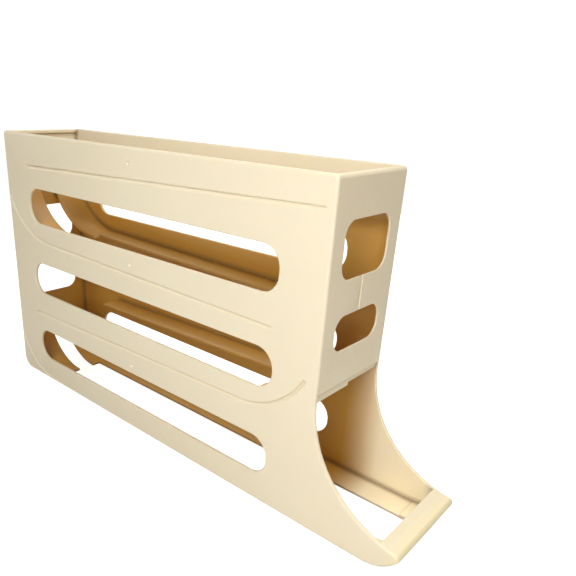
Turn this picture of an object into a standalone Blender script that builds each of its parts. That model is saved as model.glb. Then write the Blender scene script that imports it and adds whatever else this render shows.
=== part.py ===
"""Rolling egg dispenser: two mirrored moulded halves that push together along a seam in the middle.

The way through it starts in the open tray at the top, runs down four tiers that slope to the back and
to the front in turn, and ends behind the lip of the outlet. Each half is drawn here as its sections:
the side panel, the half walls at the back and front, the half lip, and a rail and a guide for each tier.

Metres, +Z up. +X runs from the back wall to the outlet, and the seam lies in the plane Y = 0.
The origin is at the middle of the footprint, on the table.
"""

import math

import bmesh
import bpy
from mathutils import Matrix, Vector

# Overall sizes
WIDTH = 0.065
BOX_LENGTH = 0.289
LIP_REACH = 0.056
WALL = 0.0025
END_WALL = 0.0012
GAP = 0.0003

# Side panel outline
PANEL_CORNER_RADIUS = 0.001
PANEL_HEEL_RADIUS = 0.009
FRONT_BITE_RADIUS = 0.062
UNDERSIDE_RADIUS = 0.0257
TIP_RADIUS = 0.0025
TIP_HEIGHT = 0.01206

# Tiers, from the table up: how far each falls, and how far it lies above the one below
RAIL_THICKNESS = 0.002
TIER_3_BACK_HEIGHT = 0.0555
TIER_3_FALL = 0.0050
TIER_2_RISE = 0.0485
TIER_2_FALL = 0.0045
TRAY_RISE = 0.0536
TRAY_FALL = 0.0072
TRAY_WALL = 0.0152

# Rails: the opening down the middle, and the drop at the end of a tier
RAIL_OPENING = 0.026
GUIDE_OPENING = 0.013
DROP_LENGTH = 0.0493

# Guides: the curves that turn the way round at the end of a tier
TIER_2_GUIDE_RUN = 0.052
TIER_2_GUIDE_RISE = 0.044
TIER_3_GUIDE_RUN = 0.051
TIER_3_GUIDE_RISE = 0.0565
TIER_4_GUIDE_RUN = 0.042
TIER_4_GUIDE_RISE = 0.043
GUIDE_CLEARANCE = 0.0016

# Viewing slots in the side panels, each above its own tier
SLOT_BACK_MARGIN = 0.0289
SLOT_FRONT_MARGIN = 0.0287
TIER_2_SLOT_LIFT = 0.0131
TIER_2_SLOT_HEIGHT = 0.0254
TIER_3_SLOT_LIFT = 0.0121
TIER_3_SLOT_HEIGHT = 0.0239
TIER_4_SLOT_LIFT = 0.0156
TIER_4_SLOT_HEIGHT = 0.0242
SLOT_CORNER_RADIUS = 0.0115

# Lines pressed into the outside of the panels, beside the rails
GROOVE_WIDTH = 0.0028
GROOVE_DEPTH = 0.0008
TRAY_GROOVE_BACK_MARGIN = 0.0287
TRAY_GROOVE_FRONT_MARGIN = 0.0050
TIER_2_GROOVE_FRONT_MARGIN = 0.0306
TIER_3_GROOVE_BACK_MARGIN = 0.0273
TIER_3_GROOVE_FRONT_MARGIN = 0.0072
TIER_4_GROOVE_LIFT = 0.0015
TIER_4_GROOVE_LENGTH = 0.0360
GROOVE_EDGE = 0.0029

# Walls across the two ends: the rim along the top, and the windows
RIM_DEPTH = 0.0028
RIM_HEIGHT = 0.0030
FRONT_WALL_LIFT = 0.0045
BACK_WALL_FOOT = 0.0275
WINDOW_MARGIN = 0.0113
WINDOW_CORNER_RADIUS = 0.0082
FRONT_UPPER_WINDOW_LIFT = 0.0292
FRONT_UPPER_WINDOW_HEIGHT = 0.0294
FRONT_LOWER_WINDOW_DROP = 0.0087
FRONT_LOWER_WINDOW_HEIGHT = 0.0192
BACK_UPPER_WINDOW_DROP = 0.0095
BACK_UPPER_WINDOW_HEIGHT = 0.0280
BACK_LOWER_WINDOW_LIFT = 0.0045
BACK_LOWER_WINDOW_HEIGHT = 0.0300
TONGUE_THICKNESS = 0.0008
NEAR_TONGUE_DROP = 0.0047
FAR_TONGUE_DROP = 0.0029

# Snap tabs that reach across the seam, inside the end walls
TAB_THICKNESS = 0.0012
TAB_REACH = 0.008
TAB_ROOT = 0.010
TAB_HEIGHT = 0.010

# Lip of the outlet
LIP_TOP_LENGTH = 0.0113
LIP_FOOT_LENGTH = 0.0160
LIP_WALL = 0.0025

# How finely the round stretches are drawn
ARC_STEP = math.radians(9)
CUT_OVERRUN = 0.002

# Colours
CREAM = (0.84, 0.77, 0.60, 1.0)
CREAM_ROUGHNESS = 0.38

# Places that follow from the sizes
REACH = BOX_LENGTH + LIP_REACH
BACK_X = -REACH / 2
FRONT_X = BACK_X + BOX_LENGTH
HALF_WIDTH = WIDTH / 2
PANEL_INSIDE = HALF_WIDTH - WALL
SECTION_INSIDE = PANEL_INSIDE - GAP
SEAM = GAP / 2
TIER_4_HEIGHT = RAIL_THICKNESS / 2
TIER_3_FRONT_HEIGHT = TIER_3_BACK_HEIGHT + TIER_3_FALL
TIER_2_FRONT_HEIGHT = TIER_3_FRONT_HEIGHT + TIER_2_RISE
TIER_2_BACK_HEIGHT = TIER_2_FRONT_HEIGHT + TIER_2_FALL
TRAY_BACK_HEIGHT = TIER_2_BACK_HEIGHT + TRAY_RISE
TRAY_FRONT_HEIGHT = TRAY_BACK_HEIGHT + TRAY_FALL
HEIGHT = TRAY_FRONT_HEIGHT + TRAY_WALL
TIER_2_GUIDE_START = BACK_X + TIER_2_GUIDE_RUN
TIER_3_GUIDE_START = FRONT_X - TIER_3_GUIDE_RUN
TIER_4_GUIDE_START = BACK_X + TIER_4_GUIDE_RUN
NEAR = -1
FAR = 1
PLANE_XZ = Matrix(((1, 0, 0), (0, 0, -1), (0, 1, 0))).to_4x4()
PLANE_YZ = Matrix(((0, 0, 1), (1, 0, 0), (0, 1, 0))).to_4x4()
PLANE_XY = Matrix.Identity(4)


def clear_scene():
    for item in list(bpy.data.objects):
        bpy.data.objects.remove(item, do_unlink=True)


def new_collection(name):
    collection = bpy.data.collections.new(name)
    bpy.context.scene.collection.children.link(collection)
    return collection


def moulded_plastic(name):
    """A cream, softly shining plastic."""
    material = bpy.data.materials.new(name)
    material.use_nodes = True
    shader = material.node_tree.nodes["Principled BSDF"]
    shader.inputs["Base Color"].default_value = CREAM
    shader.inputs["Roughness"].default_value = CREAM_ROUGHNESS
    shader.inputs["Metallic"].default_value = 0.0
    material.diffuse_color = CREAM
    return material


def arc(centre, radius, start, end):
    """Points along a circle, both ends included."""
    steps = max(2, math.ceil(abs(end - start) / ARC_STEP))
    angles = [start + (end - start) * index / steps for index in range(steps + 1)]
    return [centre + radius * Vector((math.cos(a), math.sin(a))) for a in angles]


def angle_to(centre, point):
    offset = point - centre
    return math.atan2(offset.y, offset.x)


def circles_meet(first, first_radius, second, second_radius):
    """Where two circles cross, the crossing nearer the outlet."""
    between = second - first
    distance = between.length
    along = (distance ** 2 + first_radius ** 2 - second_radius ** 2) / (2 * distance)
    aside = math.sqrt(first_radius ** 2 - along ** 2)
    middle = first + between * (along / distance)
    across = Vector((-between.y, between.x)) * (aside / distance)
    return max(middle + across, middle - across, key=lambda point: point.x)


def rounded_box(low_x, high_x, low_y, high_y, radius):
    """A rectangle with round corners."""
    quarter = math.pi / 2
    corners = (
        Vector((high_x - radius, low_y + radius)),
        Vector((high_x - radius, high_y - radius)),
        Vector((low_x + radius, high_y - radius)),
        Vector((low_x + radius, low_y + radius)),
    )
    outline = []
    for index, corner in enumerate(corners):
        start = (index - 1) * quarter
        outline += arc(corner, radius, start, start + quarter)
    return outline


def box_outline(low_x, high_x, low_y, high_y):
    return [Vector(point) for point in ((low_x, low_y), (high_x, low_y), (high_x, high_y), (low_x, high_y))]


def band(path, thickness):
    """The outline of a strip of even thickness that follows an open path."""
    left = []
    right = []
    for index, point in enumerate(path):
        before = path[max(index - 1, 0)]
        after = path[min(index + 1, len(path) - 1)]
        along = (after - before).normalized()
        aside = Vector((-along.y, along.x)) * (thickness / 2)
        left.append(point + aside)
        right.append(point - aside)
    return left + right[::-1]


def curve_to_mesh(curve_object, collection):
    """Replace a curve object with a closed mesh object of the same name and place."""
    bpy.context.view_layer.update()
    evaluated = curve_object.evaluated_get(bpy.context.evaluated_depsgraph_get())
    mesh = bpy.data.meshes.new_from_object(evaluated)
    name = curve_object.name
    placed = curve_object.matrix_world.copy()
    bpy.data.objects.remove(curve_object, do_unlink=True)
    work = bmesh.new()
    work.from_mesh(mesh)
    bmesh.ops.remove_doubles(work, verts=work.verts, dist=0.00001)
    bmesh.ops.recalc_face_normals(work, faces=work.faces)
    work.to_mesh(mesh)
    work.free()
    mesh.name = name
    result = bpy.data.objects.new(name, mesh)
    collection.objects.link(result)
    result.matrix_world = placed
    return result


def plate(name, outlines, low, high, plane, collection):
    """A flat outline, with any holes, given a thickness from low to high across its plane."""
    curve = bpy.data.curves.new(name, "CURVE")
    curve.dimensions = "2D"
    curve.fill_mode = "BOTH"
    curve.extrude = abs(high - low) / 2
    for outline in outlines:
        spline = curve.splines.new("POLY")
        spline.points.add(len(outline) - 1)
        for slot, point in zip(spline.points, outline):
            slot.co = (point.x, point.y, 0, 1)
        spline.use_cyclic_u = True
    item = bpy.data.objects.new(name, curve)
    collection.objects.link(item)
    across = plane.to_3x3() @ Vector((0, 0, 1))
    middle = (low + high) / 2
    item.matrix_world = Matrix.Translation(middle * Vector(map(abs, across))) @ plane
    return curve_to_mesh(item, collection)


def as_cutter(item):
    item.hide_render = True
    item.display_type = "WIRE"
    return item


def combine(item, other, operation):
    modifier = item.modifiers.new(other.name, "BOOLEAN")
    modifier.operation = operation
    modifier.solver = "EXACT"
    modifier.object = other


class Outlet:
    """The curves at the front end that the panel and the lip share."""

    def __init__(self):
        tip_x = FRONT_X + LIP_REACH - TIP_RADIUS
        bite_x = FRONT_X + FRONT_BITE_RADIUS
        drop = math.sqrt((FRONT_BITE_RADIUS + TIP_RADIUS) ** 2 - (tip_x - bite_x) ** 2)
        self.tip_centre = Vector((tip_x, TIP_HEIGHT))
        self.bite_centre = Vector((bite_x, TIP_HEIGHT + drop))
        rise = self.tip_centre.y - UNDERSIDE_RADIUS
        run = math.sqrt((UNDERSIDE_RADIUS - TIP_RADIUS) ** 2 - rise ** 2)
        self.underside_centre = Vector((tip_x - run, UNDERSIDE_RADIUS))
        self.underside_end = angle_to(self.underside_centre, self.tip_centre)
        self.bite_start = angle_to(self.bite_centre, self.tip_centre)

    def underside(self):
        return arc(self.underside_centre, UNDERSIDE_RADIUS, -math.pi / 2, self.underside_end)

    def tip(self):
        return arc(self.tip_centre, TIP_RADIUS, self.underside_end, self.bite_start + math.pi)

    def bite_angle_at(self, x, radius):
        return -math.pi + math.acos((self.bite_centre.x - x) / radius)

    def bite(self, end):
        return arc(self.bite_centre, FRONT_BITE_RADIUS, self.bite_start, end)


class Rail:
    """The middle line of a tier: a straight rail that may end in a round guide."""

    def __init__(self, back, front):
        self.back = back
        self.front = front
        self.along = (front - back).normalized()

    def at(self, x):
        return self.back + self.along * ((x - self.back.x) / self.along.x)

    def guide(self, start_x, run, rise, end_x):
        """The quarter-oval guide that leaves the rail at start_x and climbs until it reaches end_x."""
        start = self.at(start_x)
        toward = math.copysign(1, end_x - start_x)
        turn = math.asin(abs(end_x - start_x) / run)
        steps = math.ceil(turn / ARC_STEP)
        swings = [turn * index / steps for index in range(steps + 1)]
        return [start + Vector((toward * run * math.sin(a), rise * (1 - math.cos(a)))) for a in swings]


def inside_back(margin):
    return BACK_X + END_WALL + margin


def inside_front(margin):
    return FRONT_X - END_WALL - margin


def panel_outline(outlet):
    """The side panel seen from the side, from its heel round to the back edge."""
    heel = Vector((BACK_X + PANEL_HEEL_RADIUS, PANEL_HEEL_RADIUS))
    top = HEIGHT - PANEL_CORNER_RADIUS
    front_corner = Vector((FRONT_X - PANEL_CORNER_RADIUS, top))
    back_corner = Vector((BACK_X + PANEL_CORNER_RADIUS, top))
    outline = arc(heel, PANEL_HEEL_RADIUS, -math.pi, -math.pi / 2)
    outline += outlet.underside()
    outline += outlet.tip()[1:]
    outline += outlet.bite(-math.pi)[1:]
    outline += arc(front_corner, PANEL_CORNER_RADIUS, 0, math.pi / 2)
    outline += arc(back_corner, PANEL_CORNER_RADIUS, math.pi / 2, math.pi)
    return outline


def slot_outlines():
    slots = (
        (TIER_2_BACK_HEIGHT + TIER_2_SLOT_LIFT, TIER_2_SLOT_HEIGHT),
        (TIER_3_FRONT_HEIGHT + TIER_3_SLOT_LIFT, TIER_3_SLOT_HEIGHT),
        (RAIL_THICKNESS + TIER_4_SLOT_LIFT, TIER_4_SLOT_HEIGHT),
    )
    back = BACK_X + SLOT_BACK_MARGIN
    front = FRONT_X - SLOT_FRONT_MARGIN
    outlines = []
    for floor, height in slots:
        radius = min(SLOT_CORNER_RADIUS, height / 2)
        outlines.append(rounded_box(back, front, floor, floor + height, radius))
    return outlines


def lip_outline(outlet):
    """The lip's hooked section: the underside turned up to the tip and back over the top."""
    inner_x = FRONT_X + LIP_REACH - LIP_TOP_LENGTH
    under_radius = FRONT_BITE_RADIUS + LIP_WALL
    floor_radius = UNDERSIDE_RADIUS - LIP_WALL
    inner_corner = circles_meet(outlet.bite_centre, under_radius, outlet.underside_centre, floor_radius)
    outline = outlet.underside()
    outline += outlet.tip()[1:]
    outline += outlet.bite(outlet.bite_angle_at(inner_x, FRONT_BITE_RADIUS))[1:]
    start = outlet.bite_angle_at(inner_x, under_radius)
    outline += arc(outlet.bite_centre, under_radius, start, angle_to(outlet.bite_centre, inner_corner))
    corner_angle = angle_to(outlet.underside_centre, inner_corner)
    outline += arc(outlet.underside_centre, floor_radius, corner_angle, -math.pi / 2)[1:]
    return outline


def tier_rails():
    """The middle line of each tier's rail."""
    return {
        "tray": Rail(
            Vector((BACK_X + TRAY_GROOVE_BACK_MARGIN, TRAY_BACK_HEIGHT)),
            Vector((FRONT_X - TRAY_GROOVE_FRONT_MARGIN, TRAY_FRONT_HEIGHT)),
        ),
        "tier_2": Rail(
            Vector((TIER_2_GUIDE_START, TIER_2_BACK_HEIGHT)),
            Vector((FRONT_X - TIER_2_GROOVE_FRONT_MARGIN, TIER_2_FRONT_HEIGHT)),
        ),
        "tier_3": Rail(
            Vector((BACK_X + TIER_3_GROOVE_BACK_MARGIN, TIER_3_BACK_HEIGHT)),
            Vector((TIER_3_GUIDE_START, TIER_3_FRONT_HEIGHT)),
        ),
        "tier_4": Rail(
            Vector((TIER_4_GUIDE_START, TIER_4_HEIGHT)),
            Vector((FRONT_X + LIP_REACH, TIER_4_HEIGHT)),
        ),
    }


def tier_2_guide(rail, end_x):
    return rail.guide(TIER_2_GUIDE_START, TIER_2_GUIDE_RUN, TIER_2_GUIDE_RISE, end_x)


def tier_3_guide(rail, end_x):
    return rail.guide(TIER_3_GUIDE_START, TIER_3_GUIDE_RUN, TIER_3_GUIDE_RISE, end_x)


def tier_4_guide(rail, end_x):
    return rail.guide(TIER_4_GUIDE_START, TIER_4_GUIDE_RUN, TIER_4_GUIDE_RISE, end_x)


def guide_paths(rails):
    """The round guides, each stopped just short of its end wall."""
    margin = RAIL_THICKNESS / 2 + GUIDE_CLEARANCE
    return {
        "tier_2": tier_2_guide(rails["tier_2"], inside_back(margin)),
        "tier_3": tier_3_guide(rails["tier_3"], inside_front(margin)),
        "tier_4": tier_4_guide(rails["tier_4"], inside_back(margin)),
    }


def straight_rails(rails, outlet):
    """Where each straight rail starts and ends: an open drop, a wall, a guide or the lip."""
    back_drop = inside_back(DROP_LENGTH)
    front_drop = inside_front(DROP_LENGTH)
    return {
        "tray_rail": (rails["tray"], back_drop, inside_front(GAP)),
        "tier_2_rail": (rails["tier_2"], TIER_2_GUIDE_START + GAP, front_drop),
        "tier_3_rail": (rails["tier_3"], back_drop, TIER_3_GUIDE_START - GAP),
        "tier_4_rail": (rails["tier_4"], TIER_4_GUIDE_START + GAP, outlet.underside_centre.x - GAP),
    }


def groove_paths(rails):
    """The lines pressed into the panel, which follow the rails and guides but run further."""
    lift = Vector((0, TIER_4_GROOVE_LIFT))
    lifted = Rail(rails["tier_4"].back + lift, rails["tier_4"].front + lift)
    edge = BACK_X + GROOVE_EDGE
    top = FRONT_X - TIER_3_GROOVE_FRONT_MARGIN
    return {
        "tray": [rails["tray"].back, rails["tray"].front],
        "tier_2": tier_2_guide(rails["tier_2"], edge)[::-1] + [rails["tier_2"].front],
        "tier_3": [rails["tier_3"].back] + tier_3_guide(rails["tier_3"], top),
        "tier_4": tier_4_guide(lifted, edge)[::-1] + [lifted.at(TIER_4_GUIDE_START + TIER_4_GROOVE_LENGTH)],
    }


def across(side, near_seam, near_panel):
    """Lowest and highest Y of a section that runs from the seam side to the panel side of one half."""
    edges = sorted((side * near_seam, side * near_panel))
    return edges[0], edges[1]


def make_side_panel(prefix, side, rails, outlet, parts, cutters):
    low, high = across(side, PANEL_INSIDE, HALF_WIDTH)
    panel = plate(prefix + "side_panel", [panel_outline(outlet)] + slot_outlines(), low, high, PLANE_XZ, parts)
    grooves = [band(path, GROOVE_WIDTH) for path in groove_paths(rails).values()]
    low, high = across(side, HALF_WIDTH - GROOVE_DEPTH, HALF_WIDTH + CUT_OVERRUN)
    cutter = as_cutter(plate(prefix + "grooves", grooves, low, high, PLANE_XZ, cutters))
    combine(panel, cutter, "DIFFERENCE")
    return panel


def make_rails(prefix, side, rails, outlet, parts):
    low, high = across(side, RAIL_OPENING / 2, SECTION_INSIDE)
    made = []
    for name, (rail, start, end) in straight_rails(rails, outlet).items():
        outline = band([rail.at(start), rail.at(end)], RAIL_THICKNESS)
        made.append(plate(prefix + name, [outline], low, high, PLANE_XZ, parts))
    return made


def make_guides(prefix, side, rails, parts):
    low, high = across(side, GUIDE_OPENING / 2, SECTION_INSIDE)
    made = []
    for name, path in guide_paths(rails).items():
        outline = band(path, RAIL_THICKNESS)
        made.append(plate(prefix + name + "_guide", [outline], low, high, PLANE_XZ, parts))
    return made


def front_windows():
    """Floor and top of the front wall's two windows, the lower one first."""
    lower = TIER_2_FRONT_HEIGHT - FRONT_LOWER_WINDOW_DROP
    upper = TIER_2_FRONT_HEIGHT + FRONT_UPPER_WINDOW_LIFT
    return [(lower, lower + FRONT_LOWER_WINDOW_HEIGHT), (upper, upper + FRONT_UPPER_WINDOW_HEIGHT)]


def back_windows():
    """Floor and top of the back wall's two windows, the lower one first."""
    lower = TIER_3_BACK_HEIGHT + BACK_LOWER_WINDOW_LIFT
    upper = TIER_2_BACK_HEIGHT - BACK_UPPER_WINDOW_DROP
    return [(lower, lower + BACK_LOWER_WINDOW_HEIGHT), (upper, upper + BACK_UPPER_WINDOW_HEIGHT)]


def tab_floor(side, windows):
    """The near half's tab lies between a wall's windows, and the far half's tab above them."""
    lower, upper = windows
    below, above = (lower[1], upper[0]) if side == NEAR else (upper[1], HEIGHT)
    return (below + above - TAB_HEIGHT) / 2


def make_tab(name, side, wall_inside, toward_room, floor, cutters):
    """A flat snap tab: rooted in its own half's wall, it slips in behind the other half's wall."""
    root = wall_inside - toward_room * END_WALL / 2
    clear = wall_inside + toward_room * GAP
    inner = clear + toward_room * TAB_THICKNESS
    outline = [
        Vector((root, side * TAB_ROOT)),
        Vector((inner, side * TAB_ROOT)),
        Vector((inner, -side * TAB_REACH)),
        Vector((clear, -side * TAB_REACH)),
        Vector((clear, side * SEAM)),
        Vector((root, side * SEAM)),
    ]
    return as_cutter(plate(name, [outline], floor, floor + TAB_HEIGHT, PLANE_XY, cutters))


def make_front_wall(prefix, side, outlet, window_cutters, parts, cutters):
    """Half of the front wall, with its thick rim and the thin tongue that hangs below it."""
    inside = FRONT_X - END_WALL
    rim_inside = FRONT_X - RIM_DEPTH
    rim_foot = HEIGHT - RIM_HEIGHT
    foot = outlet.bite_centre.y + FRONT_WALL_LIFT
    drop = NEAR_TONGUE_DROP if side == NEAR else FAR_TONGUE_DROP
    outline = [
        Vector((inside, foot - drop)),
        Vector((inside + TONGUE_THICKNESS, foot - drop)),
        Vector((inside + TONGUE_THICKNESS, foot)),
        Vector((FRONT_X, foot)),
        Vector((FRONT_X, HEIGHT)),
        Vector((rim_inside, HEIGHT)),
        Vector((rim_inside, rim_foot)),
        Vector((inside, rim_foot)),
    ]
    low, high = across(side, SEAM, SECTION_INSIDE)
    wall = plate(prefix + "front_wall", [outline], low, high, PLANE_XZ, parts)
    for window in window_cutters:
        combine(wall, window, "DIFFERENCE")
    floor = tab_floor(side, front_windows())
    combine(wall, make_tab(prefix + "front_tab", side, inside, -1, floor, cutters), "UNION")
    return wall


def make_back_wall(prefix, side, window_cutters, parts, cutters):
    """Half of the back wall, with its thick rim."""
    inside = BACK_X + END_WALL
    rim_inside = BACK_X + RIM_DEPTH
    rim_foot = HEIGHT - RIM_HEIGHT
    low, high = across(side, SEAM, SECTION_INSIDE)
    outline = [
        Vector((BACK_X, BACK_WALL_FOOT)),
        Vector((inside, BACK_WALL_FOOT)),
        Vector((inside, rim_foot)),
        Vector((rim_inside, rim_foot)),
        Vector((rim_inside, HEIGHT)),
        Vector((BACK_X, HEIGHT)),
    ]
    wall = plate(prefix + "back_wall", [outline], low, high, PLANE_XZ, parts)
    for window in window_cutters:
        combine(wall, window, "DIFFERENCE")
    floor = tab_floor(side, back_windows())
    combine(wall, make_tab(prefix + "back_tab", side, inside, 1, floor, cutters), "UNION")
    return wall


def make_lip(prefix, side, outlet, foot_cutter, parts):
    low, high = across(side, SEAM, SECTION_INSIDE)
    lip = plate(prefix + "outlet_lip", [lip_outline(outlet)], low, high, PLANE_XZ, parts)
    combine(lip, foot_cutter, "DIFFERENCE")
    return lip


def make_window_cutters(name, wall_outside, wall_inside, windows, cutters):
    """A rounded block through an end wall for each of its windows."""
    half = HALF_WIDTH - WINDOW_MARGIN
    low = min(wall_outside, wall_inside) - CUT_OVERRUN
    high = max(wall_outside, wall_inside) + CUT_OVERRUN
    made = []
    for (floor, top), place in zip(windows, ("_lower", "_upper")):
        radius = min(WINDOW_CORNER_RADIUS, (top - floor) / 2)
        outline = rounded_box(-half, half, floor, top, radius)
        made.append(as_cutter(plate(name + place, [outline], low, high, PLANE_YZ, cutters)))
    return made


def make_lip_foot_cutter(outlet, cutters):
    """The block that opens the lip's foot between the rails."""
    back = outlet.underside_centre.x - CUT_OVERRUN
    front = FRONT_X + LIP_REACH - LIP_FOOT_LENGTH
    outline = box_outline(back, front, -CUT_OVERRUN, UNDERSIDE_RADIUS / 2)
    half = RAIL_OPENING / 2
    return as_cutter(plate("lip_foot", [outline], -half, half, PLANE_XZ, cutters))


def make_half(prefix, side, outlet, shared, parts, cutters):
    """One moulded half: all its sections hang on an empty at the seam."""
    rails = tier_rails()
    front_cutters, back_cutters, lip_foot = shared
    sections = [make_side_panel(prefix, side, rails, outlet, parts, cutters)]
    sections.append(make_front_wall(prefix, side, outlet, front_cutters, parts, cutters))
    sections.append(make_back_wall(prefix, side, back_cutters, parts, cutters))
    sections.append(make_lip(prefix, side, outlet, lip_foot, parts))
    sections += make_rails(prefix, side, rails, outlet, parts)
    sections += make_guides(prefix, side, rails, parts)
    seam_empty = bpy.data.objects.new(prefix + "half", None)
    parts.objects.link(seam_empty)
    for section in sections:
        section.parent = seam_empty
        section.data.materials.append(moulded_plastic(section.name))
    return sections


def main():
    clear_scene()
    parts = new_collection("rolling_egg_dispenser")
    cutters = new_collection("cutters")
    outlet = Outlet()
    shared = (
        make_window_cutters("front", FRONT_X, FRONT_X - END_WALL, front_windows(), cutters),
        make_window_cutters("back", BACK_X, BACK_X + END_WALL, back_windows(), cutters),
        make_lip_foot_cutter(outlet, cutters),
    )
    for prefix, side in (("near_", NEAR), ("far_", FAR)):
        sections = make_half(prefix, side, outlet, shared, parts, cutters)
        print(prefix + "half:", ", ".join(section.name for section in sections))
    bpy.context.view_layer.update()


main()
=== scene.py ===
# %% [markdown]
# # A rolling egg dispenser in cream plastic
#
# The real object is two mirrored mouldings that push together along a seam in the middle. Each one is a thin
# slotted panel with everything that hangs on it: half of the front and back walls, half of the lip at the
# outlet, and the ledges of four tiers. It stands out by its soft rims, its pressed lines and its satin skin,
# so this script spends its effort there.
#
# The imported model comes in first. It already moves on its joint, so every piece made here is measured in the
# same metres and rides on one of its two bodies.

# %% Load the frame
import math

import bmesh
import bpy
from mathutils import Matrix, Vector


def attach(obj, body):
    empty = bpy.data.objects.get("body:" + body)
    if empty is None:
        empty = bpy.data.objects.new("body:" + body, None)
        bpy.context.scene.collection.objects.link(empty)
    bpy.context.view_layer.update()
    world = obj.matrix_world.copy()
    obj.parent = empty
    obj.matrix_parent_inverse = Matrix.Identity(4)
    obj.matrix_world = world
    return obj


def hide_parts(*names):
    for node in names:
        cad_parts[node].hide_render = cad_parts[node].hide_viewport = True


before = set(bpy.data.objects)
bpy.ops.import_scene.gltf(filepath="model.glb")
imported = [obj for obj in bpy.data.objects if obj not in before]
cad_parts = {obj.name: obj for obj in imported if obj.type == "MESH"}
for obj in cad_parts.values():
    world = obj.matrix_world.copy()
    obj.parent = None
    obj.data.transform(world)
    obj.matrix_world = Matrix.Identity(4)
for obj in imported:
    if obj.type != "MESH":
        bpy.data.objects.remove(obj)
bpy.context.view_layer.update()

# %% [markdown]
# ## Sizes
#
# A moulding like this is drawn from the side first. The places along it are measured from the back face, and
# BACK turns them into the frame's X. Heights are from the table.

# %% Sizes of the shell
BACK = -0.1725
WIDTH = 0.065
HEIGHT = 0.1895
BOX_LENGTH = 0.289
REACH = 0.345
WALL = 0.0025
END_WALL = 0.0012
FRONT = BACK + BOX_LENGTH
PANEL_OUTSIDE = WIDTH / 2
PANEL_INSIDE = PANEL_OUTSIDE - WALL
BURIED = WALL / 2
FLUSH = 0.00002
SIDES = {"near": -1, "far": 1}
print("shell:", round(REACH * 1000), "x", round(WIDTH * 1000), "x", round(HEIGHT * 1000, 1), "mm")

# %% [markdown]
# ## Drawing outlines
#
# Every part of the moulding is a flat outline with a thickness. Points along an arc are all that is needed
# for the round stretches, so two small helpers draw every outline here.

# %% Helpers that draw outlines
ARC_STEP = math.radians(5)
QUARTER = math.pi / 2


def arc(centre, radius, start, end):
    """Points along a circle, both ends included."""
    steps = max(2, math.ceil(abs(end - start) / ARC_STEP))
    angles = [start + (end - start) * index / steps for index in range(steps + 1)]
    return [centre + radius * Vector((math.cos(a), math.sin(a))) for a in angles]


def rounded_box(low_x, high_x, low_y, high_y, radius):
    """A rectangle with round corners."""
    corners = (
        Vector((high_x - radius, low_y + radius)),
        Vector((high_x - radius, high_y - radius)),
        Vector((low_x + radius, high_y - radius)),
        Vector((low_x + radius, low_y + radius)),
    )
    outline = []
    for index, corner in enumerate(corners):
        start = (index - 1) * QUARTER
        outline += arc(corner, radius, start, start + QUARTER)
    return outline


def angle_to(centre, point):
    offset = point - centre
    return math.atan2(offset.y, offset.x)


# %% [markdown]
# ## Plates with soft rims
#
# A moulded edge is never sharp: the light catches it as a fine bright line, and that line is most of what
# makes thin plastic look real. A bevel modifier could round the edges after the holes are cut, but it
# struggles where many edges meet. A filled 2D curve rounds its own rims, around the holes as well, and
# its offset pulls the outline in by the same amount so that the plate keeps its size.

# %% Helpers for objects and meshes
WELD = 0.000001


def add_object(name, data):
    """Put a mesh, a curve, a light or a camera into the scene."""
    item = bpy.data.objects.new(name, data)
    bpy.context.scene.collection.objects.link(item)
    return item


def finished_mesh(item):
    """The mesh that an object's curve or its modifiers make."""
    bpy.context.view_layer.update()
    return bpy.data.meshes.new_from_object(item.evaluated_get(bpy.context.evaluated_depsgraph_get()))


def outward(mesh):
    """Merge the doubles and turn every face outwards."""
    work = bmesh.new()
    work.from_mesh(mesh)
    bmesh.ops.remove_doubles(work, verts=work.verts, dist=WELD)
    bmesh.ops.dissolve_degenerate(work, edges=work.edges, dist=WELD)
    bmesh.ops.recalc_face_normals(work, faces=work.faces)
    work.to_mesh(mesh)
    work.free()
    return mesh


# %% A plate from a filled curve
RIM_STEPS = 4
SIDE_VIEW = Matrix(((1, 0, 0), (0, 0, -1), (0, 1, 0))).to_4x4()
FRONT_VIEW = Matrix(((0, 0, 1), (1, 0, 0), (0, 1, 0))).to_4x4()
TOP_VIEW = Matrix.Identity(4)


def plate(name, outlines, low, high, view, rim=0.0, shrink=0.0):
    """A flat outline with any holes, from low to high across its view, its rims rounded by rim."""
    curve = bpy.data.curves.new(name, "CURVE")
    curve.dimensions = "2D"
    curve.fill_mode = "BOTH"
    curve.extrude = abs(high - low) / 2 - rim
    curve.bevel_depth = rim
    curve.bevel_resolution = RIM_STEPS
    curve.offset = -(rim + shrink)
    for outline in outlines:
        spline = curve.splines.new("POLY")
        spline.points.add(len(outline) - 1)
        for slot, point in zip(spline.points, outline):
            slot.co = (point.x, point.y, 0, 1)
        spline.use_cyclic_u = True
    flat = add_object(name, curve)
    mesh = finished_mesh(flat)
    bpy.data.objects.remove(flat, do_unlink=True)
    across = view.to_3x3() @ Vector((0, 0, 1))
    mesh.transform(Matrix.Translation((low + high) / 2 * Vector(map(abs, across))) @ view)
    mesh.name = name
    return add_object(name, outward(mesh))


# %% [markdown]
# ## Joining and freezing
#
# Plates become one moulding with Boolean modifiers. Freezing swaps the object's mesh for the finished
# result and clears its modifiers. Tools such as cutters are thrown away straight after.

# %% Helpers that join and freeze
BEVEL_STEPS = 3


def combine(item, other, operation):
    modifier = item.modifiers.new(other.name, "BOOLEAN")
    modifier.operation = operation
    modifier.solver = "MANIFOLD"
    modifier.object = other


def round_edges(item, width, angle):
    """Bevel the edges that turn by more than the angle."""
    rounding = item.modifiers.new("round_edges", "BEVEL")
    rounding.width = width
    rounding.segments = BEVEL_STEPS
    rounding.angle_limit = angle


def freeze(item):
    """Swap the mesh for the one that the modifiers make."""
    made = finished_mesh(item)
    item.modifiers.clear()
    item.data = made
    made.name = item.name
    return item


def discard(*items):
    for item in items:
        bpy.data.objects.remove(item, do_unlink=True)


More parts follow.
